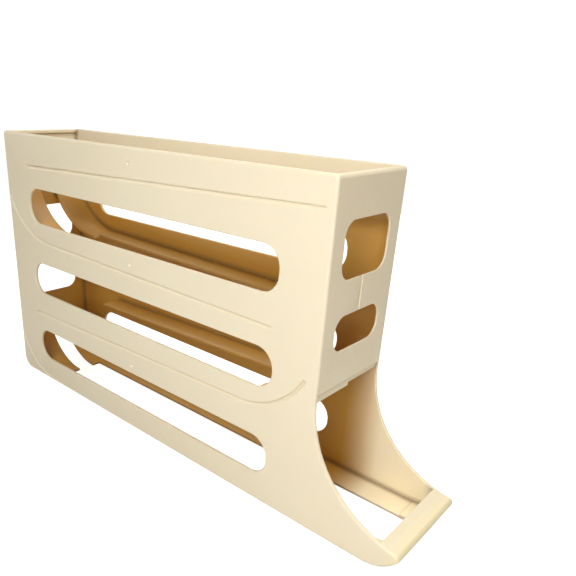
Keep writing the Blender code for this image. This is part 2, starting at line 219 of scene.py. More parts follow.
# %% [markdown]
# ## Shading for a moulding
#
# Smooth shading alone bends the reflections on a flat panel, because each corner shares its shading with the
# rounded rim beside it. A heavy weight on the large faces keeps them flat, and real corners stay crisp.

# %% Helpers that shade and count
SHARP_ANGLE = math.radians(21)
NORMAL_WEIGHT = 100


def polish(item):
    """Smooth shading that stays flat on the big faces and crisp at the corners."""
    outward(item.data)
    item.data.shade_smooth()
    item.data.set_sharp_from_angle(angle=SHARP_ANGLE)
    modifier = item.modifiers.new("flat_faces", "WEIGHTED_NORMAL")
    modifier.keep_sharp = True
    modifier.weight = NORMAL_WEIGHT
    return freeze(item)


def faces_in(item):
    return item.name + ": " + str(len(item.data.polygons)) + " faces"


# %% [markdown]
# ## Trees of geometry nodes
#
# What follows a path or repeats is made with Geometry Nodes: the ledges, the pressed lines and the gate
# marks. Each tree has named inputs for its sizes. A modifier's input is set by the socket's identifier, so
# one helper builds a tree's sockets and another puts a tree on an object and fills them in.

# %% Open and close a tree
SOCKET_KINDS = {float: "NodeSocketFloat", int: "NodeSocketInt"}


def new_tree(name, sizes):
    """An empty tree that takes geometry, the named sizes and a material."""
    tree = bpy.data.node_groups.new(name, "GeometryNodeTree")
    face = tree.interface
    face.new_socket("Geometry", in_out="INPUT", socket_type="NodeSocketGeometry")
    for label, value in sizes.items():
        face.new_socket(label, in_out="INPUT", socket_type=SOCKET_KINDS[type(value)]).default_value = value
    face.new_socket("Material", in_out="INPUT", socket_type="NodeSocketMaterial")
    face.new_socket("Geometry", in_out="OUTPUT", socket_type="NodeSocketGeometry")
    return tree, tree.nodes.new("NodeGroupInput").outputs


def close_tree(tree, given, geometry):
    """End the tree with plain geometry in the material that it was given."""
    real = tree.nodes.new("GeometryNodeRealizeInstances")
    paint = tree.nodes.new("GeometryNodeSetMaterial")
    end = tree.nodes.new("NodeGroupOutput")
    tree.links.new(geometry, real.inputs["Geometry"])
    tree.links.new(real.outputs["Geometry"], paint.inputs["Geometry"])
    tree.links.new(given["Material"], paint.inputs["Material"])
    tree.links.new(paint.outputs["Geometry"], end.inputs["Geometry"])


def nodes_in(tree):
    return tree.name + ": " + str(len(tree.nodes)) + " nodes"


# %% Put a tree on an object
def grow(item, tree, sizes):
    """Put the tree on an object, set its inputs and freeze what it makes."""
    modifier = item.modifiers.new(tree.name, "NODES")
    modifier.node_group = tree
    for socket in tree.interface.items_tree:
        if socket.in_out == "INPUT" and socket.name in sizes:
            modifier[socket.identifier] = sizes[socket.name]
    freeze(item)
    outward(item.data)
    return item


def path_object(name, paths):
    """Loose edges that a tree can follow."""
    mesh = bpy.data.meshes.new(name)
    points = [point for path in paths for point in path]
    edges = []
    start = 0
    for path in paths:
        edges += [(index, index + 1) for index in range(start, start + len(path) - 1)]
        start += len(path)
    mesh.from_pydata(points, edges, [])
    return add_object(name, mesh)


# %% [markdown]
# ## Building blocks of a material
#
# A material is a tree of small nodes, and the same few turn up again and again: a noise, a ramp from one
# value to another, a sum or a product, and a mix of two colours. Each gets a short helper, so that the
# plastic below reads as a recipe.

# %% Helpers for patterns and ramps
NOISE_MIDDLE = (0.3, 0.7)


def noise(nodes, links, place, per_metre, detail, roughness):
    node = nodes.new("ShaderNodeTexNoise")
    node.inputs["Scale"].default_value = per_metre
    node.inputs["Detail"].default_value = detail
    node.inputs["Roughness"].default_value = roughness
    links.new(place, node.inputs["Vector"])
    return node.outputs["Fac"]


def ramp(nodes, links, value, ends, results=(0.0, 1.0)):
    """The first result at the first end, the second at the second, and a straight run between."""
    node = nodes.new("ShaderNodeMapRange")
    node.inputs["From Min"].default_value, node.inputs["From Max"].default_value = ends
    node.inputs["To Min"].default_value, node.inputs["To Max"].default_value = results
    links.new(value, node.inputs["Value"])
    return node.outputs["Result"]


def spread(nodes, links, value, low, high):
    """Stretch a noise's middle range to run from low to high."""
    return ramp(nodes, links, value, NOISE_MIDDLE, (low, high))


# %% Helpers that mix values and colours
def combined(nodes, links, operation, first, second=None):
    node = nodes.new("ShaderNodeMath")
    node.operation = operation
    links.new(first, node.inputs[0])
    if second:
        links.new(second, node.inputs[1])
    return node.outputs["Value"]


def product(nodes, links, first, *others):
    for other in others:
        first = combined(nodes, links, "MULTIPLY", first, other)
    return first


def blended(nodes, links, share, first, second):
    """Mix two colours, each a socket or a plain colour."""
    node = nodes.new("ShaderNodeMix")
    node.data_type = "RGBA"
    links.new(share, node.inputs["Factor"])
    for colour, socket in ((first, node.inputs["A"]), (second, node.inputs["B"])):
        if isinstance(colour, tuple):
            socket.default_value = colour
        else:
            links.new(colour, socket)
    return node.outputs["Result"]


# %% [markdown]
# ## Painted shade in hollows and corners
#
# Deep inside, light that has bounced between cream walls comes back ochre and shade falls, and that light
# and shade are painted into the colour: a painted ochre shade in the hollows, and a darker painted shade in
# narrow corners. Painting them by hand would never fit the shape. Ambient occlusion finds them from the shape
# alone, with a long reach for the hollows and a very short one for the corners, so the painted shade stays
# put whatever the view. The ochre is kept off the outer skin, the open tray at the top and the open outlet.
# Each pair of values below says where a share is nought and where it reaches its most.

# %% How shut in a place is
FRONT_SKIN = (FRONT - 0.00105, FRONT - 0.00118)
FRONT_SKIN_FOOT = (0.0810, 0.0800)


def shut_in_share(nodes, links, distance, samples, ends, most):
    """Nought where the open is in sight all round, up to most where walls closer than distance hide it."""
    node = nodes.new("ShaderNodeAmbientOcclusion")
    node.samples = samples
    node.inputs["Distance"].default_value = distance
    return ramp(nodes, links, node.outputs["AO"], ends, (0.0, most))


def behind_front_skin(nodes, links, x, z):
    """One from the front wall's inner face inwards, and everywhere below its foot."""
    return combined(
        nodes, links, "MAXIMUM",
        ramp(nodes, links, x, FRONT_SKIN),
        ramp(nodes, links, z, FRONT_SKIN_FOOT),
    )


# %% Painted ochre shade deep inside
HOLLOW_DISTANCE = 0.12
HOLLOW_SAMPLES = 12
HOLLOW_ENDS = (0.82, 0.46)
HOLLOW_MOST = 0.92
HOLLOW_TRAY = (0.1760, 0.1600)
HOLLOW_OUTLET = (FRONT + 0.008, FRONT - 0.016)
OUTLET_TOP = (0.0800, 0.0940)
BACK_SKIN = (BACK + 0.00105, BACK + 0.00118)


def painted_hollow_shade_share(nodes, links, x, z, inside):
    """The share of painted ochre shade, from nought on the skin to nearly one deep inside."""
    depth = shut_in_share(nodes, links, HOLLOW_DISTANCE, HOLLOW_SAMPLES, HOLLOW_ENDS, HOLLOW_MOST)
    behind_outlet = combined(
        nodes, links, "MAXIMUM",
        ramp(nodes, links, x, HOLLOW_OUTLET),
        ramp(nodes, links, z, OUTLET_TOP),
    )
    tray = ramp(nodes, links, z, HOLLOW_TRAY)
    behind_back = ramp(nodes, links, x, BACK_SKIN)
    behind_front = behind_front_skin(nodes, links, x, z)
    return product(nodes, links, depth, inside, tray, behind_outlet, behind_back, behind_front)


# %% Painted shade in narrow corners
CREVICE_DISTANCE = 0.0040
CREVICE_SAMPLES = 6
CREVICE_ENDS = (0.93, 0.70)
CREVICE_MOST = 0.62


def painted_crevice_shade_share(nodes, links, x, z, inside):
    """The share of painted shade in the narrow corners inside, and in the one where the tongue hangs from the
    front wall.
    """
    narrow = shut_in_share(nodes, links, CREVICE_DISTANCE, CREVICE_SAMPLES, CREVICE_ENDS, CREVICE_MOST)
    return product(nodes, links, narrow, inside, behind_front_skin(nodes, links, x, z))


# %% [markdown]
# ## The colour of the plastic, with painted light and shade
#
# The real thing is moulded in one warm cream plastic, and one flat colour would look like paint. So the
# colour drifts a little over the length of a panel, as the melt did, and the tip of the lip is a touch
# yellower. The thin walls round the open outlet let light through from behind, and that light is painted in:
# the outlet's inside is painted paler than the rest. The painted shade of the hollows and the corners comes
# last, over all of it.

# %% The cream and where it changes
CREAM_LIGHT = (0.860, 0.770, 0.580, 1.0)
CREAM_DEEP = (0.835, 0.742, 0.548, 1.0)
CREAM_TIP = (0.860, 0.755, 0.490, 1.0)
# Painted light: a paler cream inside the open outlet, standing in for light let through from behind.
PAINTED_OUTLET_LIGHT = (1.000, 0.875, 0.620, 1.0)
# Painted shade: ochre and darker deep inside, standing in for shade and bounced light.
PAINTED_HOLLOW_SHADE = (0.600, 0.310, 0.020, 1.0)
# Painted shade: a dark brown in narrow corners and under the front wall's foot.
PAINTED_CREVICE_SHADE = (0.250, 0.160, 0.070, 1.0)
DRIFT = {"per_metre": 9.0, "detail": 2.0, "roughness": 0.5}
TIP_WARMTH = (BACK + 0.3375, BACK + 0.3440)
PANEL_SKIN = (0.0304, 0.0301)
OUTLET_LIGHT_BACK = (FRONT - 0.010, FRONT + 0.024)
OUTLET_LIGHT_FRONT = (BACK + 0.3310, BACK + 0.3280)


def cream_colour(nodes, links, place):
    """Cream that drifts, with a yellow tip, painted light in the outlet, and painted shade in hollows and
    corners.
    """
    apart = nodes.new("ShaderNodeSeparateXYZ")
    links.new(place, apart.inputs["Vector"])
    x, y, z = (apart.outputs[axis] for axis in "XYZ")
    inside = ramp(nodes, links, combined(nodes, links, "ABSOLUTE", y), PANEL_SKIN)
    # Where the outlet's painted light goes: inner faces from the front wall out to the lip, low down.
    outlet_painted_light_share = product(
        nodes, links, inside,
        ramp(nodes, links, x, OUTLET_LIGHT_BACK),
        ramp(nodes, links, x, OUTLET_LIGHT_FRONT),
        ramp(nodes, links, z, OUTLET_TOP[::-1]),
    )
    drift = spread(nodes, links, noise(nodes, links, place, **DRIFT), 0.0, 1.0)
    colour = blended(nodes, links, drift, CREAM_LIGHT, CREAM_DEEP)
    colour = blended(nodes, links, ramp(nodes, links, x, TIP_WARMTH), colour, CREAM_TIP)
    # Painted light: the outlet's inside is made paler.
    colour = blended(nodes, links, outlet_painted_light_share, colour, PAINTED_OUTLET_LIGHT)
    # Painted ochre shade deep inside.
    colour = blended(nodes, links, painted_hollow_shade_share(nodes, links, x, z, inside), colour, PAINTED_HOLLOW_SHADE)
    # Painted shade in narrow corners, over all of it.
    return blended(nodes, links, painted_crevice_shade_share(nodes, links, x, z, inside), colour, PAINTED_CREVICE_SHADE)


# %% [markdown]
# ## The satin skin
#
# The gloss is slightly uneven, and a grain much finer than a millimetre breaks the reflections. Faint level
# bands show where the melt flowed and shrank. Grain and bands are bump, because they are far too shallow to
# cut. A little light goes into the surface, which softens the thin edges.

# %% Gloss, grain and flow bands
SMEAR = {"per_metre": 34.0, "detail": 4.0, "roughness": 0.6}
GLOSS_LOW = 0.34
GLOSS_HIGH = 0.46
GRAIN = {"per_metre": 1500.0, "detail": 2.0, "roughness": 0.5}
GRAIN_HEIGHT = 0.00002
GRAIN_STRENGTH = 0.22
BANDS = {"per_metre": 1.0, "detail": 1.0, "roughness": 0.4}
BANDS_STRETCH = (5.0, 5.0, 75.0)
BANDS_HEIGHT = 0.00010
BANDS_STRENGTH = 0.60


def gloss(nodes, links, place):
    """A roughness that is slightly uneven."""
    return spread(nodes, links, noise(nodes, links, place, **SMEAR), GLOSS_LOW, GLOSS_HIGH)


def bump(nodes, links, height, distance, strength, under=None):
    node = nodes.new("ShaderNodeBump")
    node.inputs["Distance"].default_value = distance
    node.inputs["Strength"].default_value = strength
    links.new(height, node.inputs["Height"])
    if under:
        links.new(under, node.inputs["Normal"])
    return node.outputs["Normal"]


def grained(nodes, links, place):
    """Level flow bands with a fine grain over them."""
    stretch = nodes.new("ShaderNodeMapping")
    stretch.inputs["Scale"].default_value = BANDS_STRETCH
    links.new(place, stretch.inputs["Vector"])
    bands = noise(nodes, links, stretch.outputs["Vector"], **BANDS)
    flow = bump(nodes, links, bands, BANDS_HEIGHT, BANDS_STRENGTH)
    grain = noise(nodes, links, place, **GRAIN)
    return bump(nodes, links, grain, GRAIN_HEIGHT, GRAIN_STRENGTH, flow)


# %% The finished material
SKIN_DEPTH = (0.0012, 0.0007, 0.0004)
SKIN_SCALE = 1.0
SKIN_SHARE = 0.15


def moulded_cream(name):
    """Warm cream plastic with a satin, faintly grained skin."""
    material = bpy.data.materials.new(name)
    material.use_nodes = True
    material.diffuse_color = CREAM_LIGHT
    nodes = material.node_tree.nodes
    links = material.node_tree.links
    shader = nodes["Principled BSDF"]
    place = nodes.new("ShaderNodeTexCoord").outputs["Object"]
    # The base colour holds the outlet's painted light and the painted shade of hollows and corners.
    links.new(cream_colour(nodes, links, place), shader.inputs["Base Color"])
    links.new(gloss(nodes, links, place), shader.inputs["Roughness"])
    links.new(grained(nodes, links, place), shader.inputs["Normal"])
    shader.inputs["Subsurface Weight"].default_value = SKIN_SHARE
    shader.inputs["Subsurface Radius"].default_value = SKIN_DEPTH
    shader.inputs["Subsurface Scale"].default_value = SKIN_SCALE
    return material


cream = moulded_cream("moulded_cream")
print("material:", cream.name, "with", len(cream.node_tree.nodes), "nodes")

# %% [markdown]
# ## The side panels
#
# Seen from the side the panel is a box with a round heel at the back. At the front it is bitten away in a
# long hollow curve, and its underside rolls up to meet that curve in a small round tip. The circles touch,
# so their centres follow from the radii.

# %% The curves of the outlet
BITE_RADIUS = 0.062
BITE_HEIGHT = 0.076
ROLL_RADIUS = 0.0257
TIP_RADIUS = 0.0025

bite_centre = Vector((FRONT + BITE_RADIUS, BITE_HEIGHT))
tip_x = BACK + REACH - TIP_RADIUS
tip_drop = math.sqrt((BITE_RADIUS + TIP_RADIUS) ** 2 - (tip_x - bite_centre.x) ** 2)
tip_centre = Vector((tip_x, BITE_HEIGHT - tip_drop))
roll_run = math.sqrt((ROLL_RADIUS - TIP_RADIUS) ** 2 - (tip_centre.y - ROLL_RADIUS) ** 2)
roll_centre = Vector((tip_x - roll_run, ROLL_RADIUS))
roll_end = angle_to(roll_centre, tip_centre)
bite_start = angle_to(bite_centre, tip_centre)

roll = arc(roll_centre, ROLL_RADIUS, -QUARTER, roll_end)
tip = arc(tip_centre, TIP_RADIUS, roll_end, bite_start + math.pi)
bite = arc(bite_centre, BITE_RADIUS, bite_start, -math.pi)
print("outlet: the tip stands", round(tip_centre.y * 1000, 1), "mm above the table")

# %% The panel's outline and its slots
HEEL_RADIUS = 0.009
TOP_CORNER_RADIUS = 0.0026
PANEL_RIM = 0.0009
OUTER_RIM = 0.0016
SLOT_BACK = BACK + 0.0289
SLOT_FRONT = BACK + 0.2603
SLOTS = ((0.1266, 0.1520), (0.0726, 0.0965), (0.0176, 0.0418))
SLOT_CORNER_RADIUS = 0.0115


def panel_outline():
    heel = Vector((BACK + HEEL_RADIUS, HEEL_RADIUS))
    front_corner = Vector((FRONT - TOP_CORNER_RADIUS, HEIGHT - TOP_CORNER_RADIUS))
    back_corner = Vector((BACK + TOP_CORNER_RADIUS, HEIGHT - TOP_CORNER_RADIUS))
    outline = arc(heel, HEEL_RADIUS, -math.pi, -QUARTER) + roll + tip[1:] + bite[1:]
    outline += arc(front_corner, TOP_CORNER_RADIUS, 0, QUARTER)
    outline += arc(back_corner, TOP_CORNER_RADIUS, QUARTER, math.pi)
    return outline


def side_panel(side):
    slots = [rounded_box(SLOT_BACK, SLOT_FRONT, low, high, SLOT_CORNER_RADIUS) for low, high in SLOTS]
    low, high = sorted((side * PANEL_INSIDE, side * PANEL_OUTSIDE))
    return plate("panel", [panel_outline()] + slots, low, high, SIDE_VIEW, PANEL_RIM)


def soft_block():
    """The whole outline across the full width, a hair wide, with the soft edges of the outside."""
    reach = PANEL_OUTSIDE + FLUSH / 2
    return plate("soft_block", [panel_outline()], -reach, reach, SIDE_VIEW, OUTER_RIM, FLUSH / 2)


# %% [markdown]
# ## Where the ledges run
#
# Each tier is a straight ledge, and the first three fall by a degree or two. The lower three start in a
# quarter-oval guide that turns the way round from the tier above. The same lines are pressed into the
# outside of the panels, so they are worked out once and used twice. A line is two points, measured from the
# back face, and a guide is the place where it leaves its ledge, its run and its rise.

# %% Lines of the tiers
GUIDE_STEPS = 24
LEDGE = 0.002


def line_height(line, x):
    """The height of a straight line, given as two points, at x."""
    (back_x, back_z), (front_x, front_z) = line
    return back_z + (front_z - back_z) * (x - BACK - back_x) / (front_x - back_x)


def guide(line, start_x, run, rise, end_x):
    """A quarter-oval that leaves the line at start_x and climbs as it nears end_x."""
    toward = math.copysign(1, end_x - start_x)
    turn = math.asin(min(abs(end_x - start_x) / run, 1.0))
    base = line_height(line, start_x)
    swings = [turn * index / GUIDE_STEPS for index in range(GUIDE_STEPS + 1)]
    return [Vector((start_x + toward * run * math.sin(a), base + rise * (1 - math.cos(a)))) for a in swings]


TRAY_LINE = ((0.0287, 0.1671), (0.2840, 0.1743))
TIER_2_LINE = ((0.0520, 0.1135), (0.2584, 0.1090))
TIER_3_LINE = ((0.0273, 0.0555), (0.2380, 0.0605))
TIER_4_LINE = ((0.0420, 0.0010), (0.3450, 0.0010))
TIER_4_GROOVE_LINE = ((0.0420, 0.0025), (0.3450, 0.0025))
TIER_2_GUIDE = (BACK + 0.052, 0.0520, 0.0440)
TIER_3_GUIDE = (BACK + 0.238, 0.0510, 0.0565)
TIER_4_GUIDE = (BACK + 0.042, 0.0420, 0.0430)


def line_points(line, start_x, end_x):
    return [Vector((x, line_height(line, x))) for x in (start_x, end_x)]


falls = [abs(back[1] - front[1]) for back, front in (TRAY_LINE, TIER_2_LINE, TIER_3_LINE)]
print("falls of the tiers:", ", ".join(str(round(fall * 1000, 1)) for fall in falls), "mm")

# %% [markdown]
# ## The pressed lines
#
# On the outside of each panel a line is pressed in beside every ledge. Its upper wall is steep and stays in
# shade, and below it the face slopes gently back out and catches the light, so each line shows as a dark
# thread over a bright one. Drawn as bump it would vanish from the side, so it is really cut. A tree carries
# that wedge-shaped section along the path. The ledges are swept in the same way, so the step that both
# trees share has a helper of its own.

# %% Carry a section along a path
def sweep_along(tree, given, section):
    """Sweep a section along the edges that the tree is given, upright all the way."""
    nodes, links = tree.nodes, tree.links
    path = nodes.new("GeometryNodeMeshToCurve")
    upright = nodes.new("GeometryNodeSetCurveNormal")
    upright.mode = "Z_UP"
    sweep = nodes.new("GeometryNodeCurveToMesh")
    sweep.inputs["Fill Caps"].default_value = True
    links.new(given["Geometry"], path.inputs["Mesh"])
    links.new(path.outputs["Curve"], upright.inputs["Curve"])
    links.new(upright.outputs["Curve"], sweep.inputs["Curve"])
    links.new(section, sweep.inputs["Profile Curve"])
    return sweep.outputs["Mesh"]


# %% The tree that sweeps a wedge
GROOVE = {"Above": 0.0013, "Deepest": 0.0005, "Below": 0.0016, "Depth": 0.0016, "Outside": 0.0010}


def negative(nodes, links, value):
    node = nodes.new("ShaderNodeMath")
    node.operation = "MULTIPLY"
    node.inputs[1].default_value = -1.0
    links.new(value, node.inputs[0])
    return node.outputs["Value"]


def wedge_tree():
    """The section's X points out of the panel and its Y points down."""
    tree, given = new_tree("pressed_line", GROOVE)
    nodes, links = tree.nodes, tree.links
    above, deepest, inward = (
        negative(nodes, links, given[label]) for label in ("Above", "Deepest", "Depth")
    )
    section = nodes.new("GeometryNodeCurvePrimitiveQuadrilateral")
    section.mode = "POINTS"
    corners = (
        (given["Outside"], above),
        (inward, deepest),
        (None, given["Below"]),
        (given["Outside"], given["Below"]),
    )
    for index, (across, down) in enumerate(corners):
        corner = nodes.new("ShaderNodeCombineXYZ")
        if across:
            links.new(across, corner.inputs["X"])
        links.new(down, corner.inputs["Y"])
        links.new(corner.outputs["Vector"], section.inputs["Point " + str(index + 1)])
    close_tree(tree, given, sweep_along(tree, given, section.outputs["Curve"]))
    return tree


pressed_line = wedge_tree()
print(nodes_in(pressed_line))

# %% The grooves of one panel
GROOVE_EDGE = BACK + 0.0029
TRAY_GROOVE = (BACK + 0.0287, BACK + 0.2840)
TIER_2_GROOVE_FRONT = BACK + 0.2584
TIER_3_GROOVE_BACK = BACK + 0.0273
TIER_3_GROOVE_TOP = BACK + 0.2815
TIER_4_GROOVE_FRONT = BACK + 0.078


def groove_lines():
    tier_2 = guide(TIER_2_LINE, *TIER_2_GUIDE, GROOVE_EDGE)[::-1]
    tier_3 = guide(TIER_3_LINE, *TIER_3_GUIDE, TIER_3_GROOVE_TOP)
    tier_4 = guide(TIER_4_GROOVE_LINE, *TIER_4_GUIDE, GROOVE_EDGE)[::-1]
    return [
        line_points(TRAY_LINE, *TRAY_GROOVE),
        tier_2 + line_points(TIER_2_LINE, TIER_2_GUIDE[0], TIER_2_GROOVE_FRONT)[1:],
        line_points(TIER_3_LINE, TIER_3_GROOVE_BACK, TIER_3_GUIDE[0])[:1] + tier_3,
        tier_4 + line_points(TIER_4_GROOVE_LINE, TIER_4_GUIDE[0], TIER_4_GROOVE_FRONT)[1:],
    ]


def groove_cutter(side):
    """Paths run to the front on the near side and to the back on the far side, so the wedge points in."""
    paths = [[(point.x, side * PANEL_OUTSIDE, point.y) for point in line] for line in groove_lines()]
    cutter = path_object("groove_cutter", [path[::-side] for path in paths])
    return grow(cutter, pressed_line, {**GROOVE, "Material": cream})


# %% [markdown]
# ## The gate marks
#
# Between the slots, halfway along each panel, are three small dimples where the plastic ran into the mould.
# A dark spot would look painted on, so the dimples are cut. The tree puts one little ball on each point,
# which keeps the list of places in one line, and the balls are cut away from the panel.

# %% The tree that sets a ball on each point
GATE_BALL = 0.0016
GATE_DEPTH = 0.0011
GATE_MARKS = ((0.1445, 0.1802), (0.1440, 0.1180), (0.1433, 0.0476))


def gate_tree():
    tree, given = new_tree("gate_balls", {"Radius": GATE_BALL})
    nodes, links = tree.nodes, tree.links
    points = nodes.new("GeometryNodeMeshToPoints")
    ball = nodes.new("GeometryNodeMeshUVSphere")
    place = nodes.new("GeometryNodeInstanceOnPoints")
    links.new(given["Geometry"], points.inputs["Mesh"])
    links.new(given["Radius"], ball.inputs["Radius"])
    links.new(points.outputs["Points"], place.inputs["Points"])
    links.new(ball.outputs["Mesh"], place.inputs["Instance"])
    close_tree(tree, given, place.outputs["Instances"])
    return tree


gate_balls = gate_tree()
print(nodes_in(gate_balls))


def gate_cutters(side):
    away = side * (PANEL_OUTSIDE + GATE_BALL - GATE_DEPTH)
    points = [[(BACK + x, away, z)] for x, z in GATE_MARKS]
    balls = path_object("gate_cutters", points)
    return grow(balls, gate_balls, {"Radius": GATE_BALL, "Material": cream})


# %% [markdown]
# ## The end walls
#
# The front and back walls close the box between the panels, each with two windows across the seam. The whole
# wall is made once, wider than the gap so that it is buried in both panels, and each half keeps its own
# side of the seam. Its outer face lies a hair inside the panel's edge, because faces in exactly the same
# plane leave slivers behind when they are joined.

# %% The walls with their windows
WALL_RIM = 0.0005
WINDOW_HALF_WIDTH = 0.0212
WINDOW_CORNER_RADIUS = 0.0082
FRONT_FOOT = 0.0805
BACK_FOOT = 0.0275
FRONT_WINDOWS = ((0.1382, 0.1676), (0.1003, 0.1195))
BACK_WINDOWS = ((0.1040, 0.1320), (0.0600, 0.0900))
WALL_CORNER_RADIUS = 0.001
BURIED_AT = PANEL_OUTSIDE - PANEL_RIM + WALL_RIM


def end_wall(name, outside, inside, foot, windows):
    outline = rounded_box(-BURIED_AT, BURIED_AT, foot, HEIGHT - FLUSH, WALL_CORNER_RADIUS)
    holes = [
        rounded_box(-WINDOW_HALF_WIDTH, WINDOW_HALF_WIDTH, low, high, WINDOW_CORNER_RADIUS)
        for low, high in windows
    ]
    low, high = sorted((outside, inside))
    return plate(name, [outline] + holes, low, high, FRONT_VIEW, WALL_RIM)


# %% The thick rim along the top of an end wall
RIM_DEPTH = 0.0028
RIM_HEIGHT = 0.0030
RIM_ROUNDING = 0.0011


def top_rim(name, outside, into_room):
    low, high = sorted((outside, outside + into_room * RIM_DEPTH))
    outline = rounded_box(low, high, HEIGHT - RIM_HEIGHT, HEIGHT - 2 * FLUSH, RIM_ROUNDING)
    return plate(name, [outline], -BURIED_AT, BURIED_AT, SIDE_VIEW)


# %% The tongue under the front wall
TONGUE = 0.0008
TONGUE_RIM = 0.0003
TONGUE_FOOT = {"near": 0.0758, "far": 0.0776}
TONGUE_ROOT = 0.004
TONGUE_OVERLAP = 0.0002


def front_tongue(half):
    outline = rounded_box(
        -BURIED_AT, BURIED_AT, TONGUE_FOOT[half], FRONT_FOOT + TONGUE_ROOT, TONGUE_RIM
    )
    inside = FRONT - END_WALL
    low, high = inside - TONGUE + TONGUE_OVERLAP, inside + TONGUE_OVERLAP
    return plate("tongue", [outline], low, high, FRONT_VIEW, TONGUE_RIM)


# %% [markdown]
# ## The lip
#
# The outlet ends in a hooked lip: the floor rolls up to the tip and folds back over the top, level with the
# edges of the panels. From inside it is an open channel. It is drawn in section from the same circles as
# the panel, thickened inwards, and then pulled across the whole width.

# %% The lip's section
LIP_INNER_EDGE = BACK + 0.3337
LIP_FOOT = BACK + 0.3290
LIP_EDGE_RIM = 0.0006
LIP_RIM_ANGLE = math.radians(50)
FLOOR_OPENING = 0.026


def circles_meet(first, first_radius, second, second_radius):
    """Where two circles cross, the crossing nearer the outlet."""
    between = second - first
    distance = between.length
    along = (distance ** 2 + first_radius ** 2 - second_radius ** 2) / (2 * distance)
    aside = math.sqrt(first_radius ** 2 - along ** 2)
    middle = first + between * (along / distance)
    across = Vector((-between.y, between.x)) * (aside / distance)
    return max(middle + across, middle - across, key=lambda point: point.x)


def angle_on_bite(x, radius):
    return -math.pi + math.acos((bite_centre.x - x) / radius)


def lip_section():
    under = BITE_RADIUS + WALL
    floor = ROLL_RADIUS - WALL
    corner = circles_meet(bite_centre, under, roll_centre, floor)
    top = arc(bite_centre, BITE_RADIUS, bite_start, angle_on_bite(LIP_INNER_EDGE, BITE_RADIUS))
    back_under = arc(bite_centre, under, angle_on_bite(LIP_INNER_EDGE, under), angle_to(bite_centre, corner))
    back_down = arc(roll_centre, floor, angle_to(roll_centre, corner), -QUARTER)
    return roll + tip[1:] + top[1:] + back_under + back_down[1:]


# %% The lip across both halves
def lip():
    piece = plate("lip", [lip_section()], -BURIED_AT, BURIED_AT, SIDE_VIEW, shrink=FLUSH)
    foot = rounded_box(roll_centre.x - WALL, LIP_FOOT, -WALL, ROLL_RADIUS / 2, WALL_CORNER_RADIUS)
    notch = plate("notch", [foot], -FLOOR_OPENING / 2, FLOOR_OPENING / 2, SIDE_VIEW)
    combine(piece, notch, "DIFFERENCE")
    round_edges(piece, LIP_EDGE_RIM, LIP_RIM_ANGLE)
    freeze(piece)
    discard(notch)
    return piece


# %% [markdown]
# ## The seam
#
# The halves meet in the plane Y = 0. A tool as big as the other half cuts each one there, and two tiny teeth
# on the tool break the edges outside the front and back walls. Between the front windows, and faintly below
# them, the near half stands back a little more at the seam. That bares the end face of the far half, which
# is the fine bright line down the middle of the wall.

# %% The tool that cuts at the seam
SEAM = 0.00001
SEAM_EDGE = 0.00012
TOOL_MARGIN = 0.02


def seam_tool(half):
    side = SIDES[half]
    back = BACK - TOOL_MARGIN
    front = BACK + REACH + TOOL_MARGIN
    tooth = SEAM + 2 * SEAM_EDGE
    outline = [
        Vector((back, SEAM)),
        Vector((BACK - SEAM_EDGE, SEAM)),
        Vector((BACK - SEAM_EDGE, tooth)),
        Vector((BACK + SEAM_EDGE, SEAM)),
        Vector((FRONT - SEAM_EDGE, SEAM)),
        Vector((FRONT + SEAM_EDGE, tooth)),
        Vector((FRONT + SEAM_EDGE, SEAM)),
        Vector((front, SEAM)),
        Vector((front, -WIDTH)),
        Vector((back, -WIDTH)),
    ]
    placed = [Vector((point.x, point.y * side)) for point in outline]
    return plate("seam_tool", [placed], -TOOL_MARGIN, HEIGHT + TOOL_MARGIN, TOP_VIEW)


# %% The broken edge outside the front wall
SEAM_BREAKS = (((0.0770, 0.1020), 0.0002), ((0.1180, 0.1400), 0.0007))
SEAM_SLOPE = 6.0
SEAM_MARGIN = 0.0005


def seam_breaks():
    """Wedges that take the near half's edge down, each over its own heights and to its own depth."""
    wedges = []
    for (low, high), depth in SEAM_BREAKS:
        outline = [
            Vector((FRONT - depth, SEAM_MARGIN)),
            Vector((FRONT, -depth * SEAM_SLOPE)),
            Vector((FRONT + depth, -depth * SEAM_SLOPE)),
            Vector((FRONT + depth, SEAM_MARGIN)),
        ]
        wedges.append(plate("seam_break", [outline], low, high, TOP_VIEW))
    return wedges


# %% [markdown]
# ## The snap tabs
#
# Four thin tabs hold the halves together. Each is rooted in its own half's wall and slips in behind the
# other half's wall, so from outside nothing shows. A tab is one plate seen from above: a root that is sunk
# into the wall, a step inwards at the seam, and a tongue that crosses it with a hair of clearance.

# %% Tabs behind the end walls
TAB = 0.0012
TAB_CLEARANCE = 0.0003
TAB_REACH = 0.008
TAB_ROOT = 0.010
TAB_SUNK = END_WALL / 4
TAB_HEIGHT = 0.010
TAB_RIM = 0.0002
TAB_FLOORS = {"near": {"front": 0.12385, "back": 0.0920}, "far": {"front": 0.17355, "back": 0.15575}}


def snap_tab(side, wall_inside, into_room, floor):
    root = wall_inside - into_room * TAB_SUNK
    clear = wall_inside + into_room * TAB_CLEARANCE
    inner = clear + into_room * TAB
    outline = [
        Vector((root, side * TAB_ROOT)),
        Vector((inner, side * TAB_ROOT)),
        Vector((inner, -side * TAB_REACH)),
        Vector((clear, -side * TAB_REACH)),
        Vector((clear, side * SEAM)),
        Vector((root, side * SEAM)),
    ]
    return plate("tab", [outline], floor, floor + TAB_HEIGHT, TOP_VIEW, TAB_RIM)


# %% [markdown]
# ## Two shells
#
# Now the plates come together. The walls, lip and tongue are joined to the panel. The soft block, which is
# the whole outline with a large rounding, then takes the outer edges down, so that the corner between a
# panel and an end wall is as round as the real one. The seam, the grooves and the gate marks are cut, and
# the tabs go on last because they cross the seam.

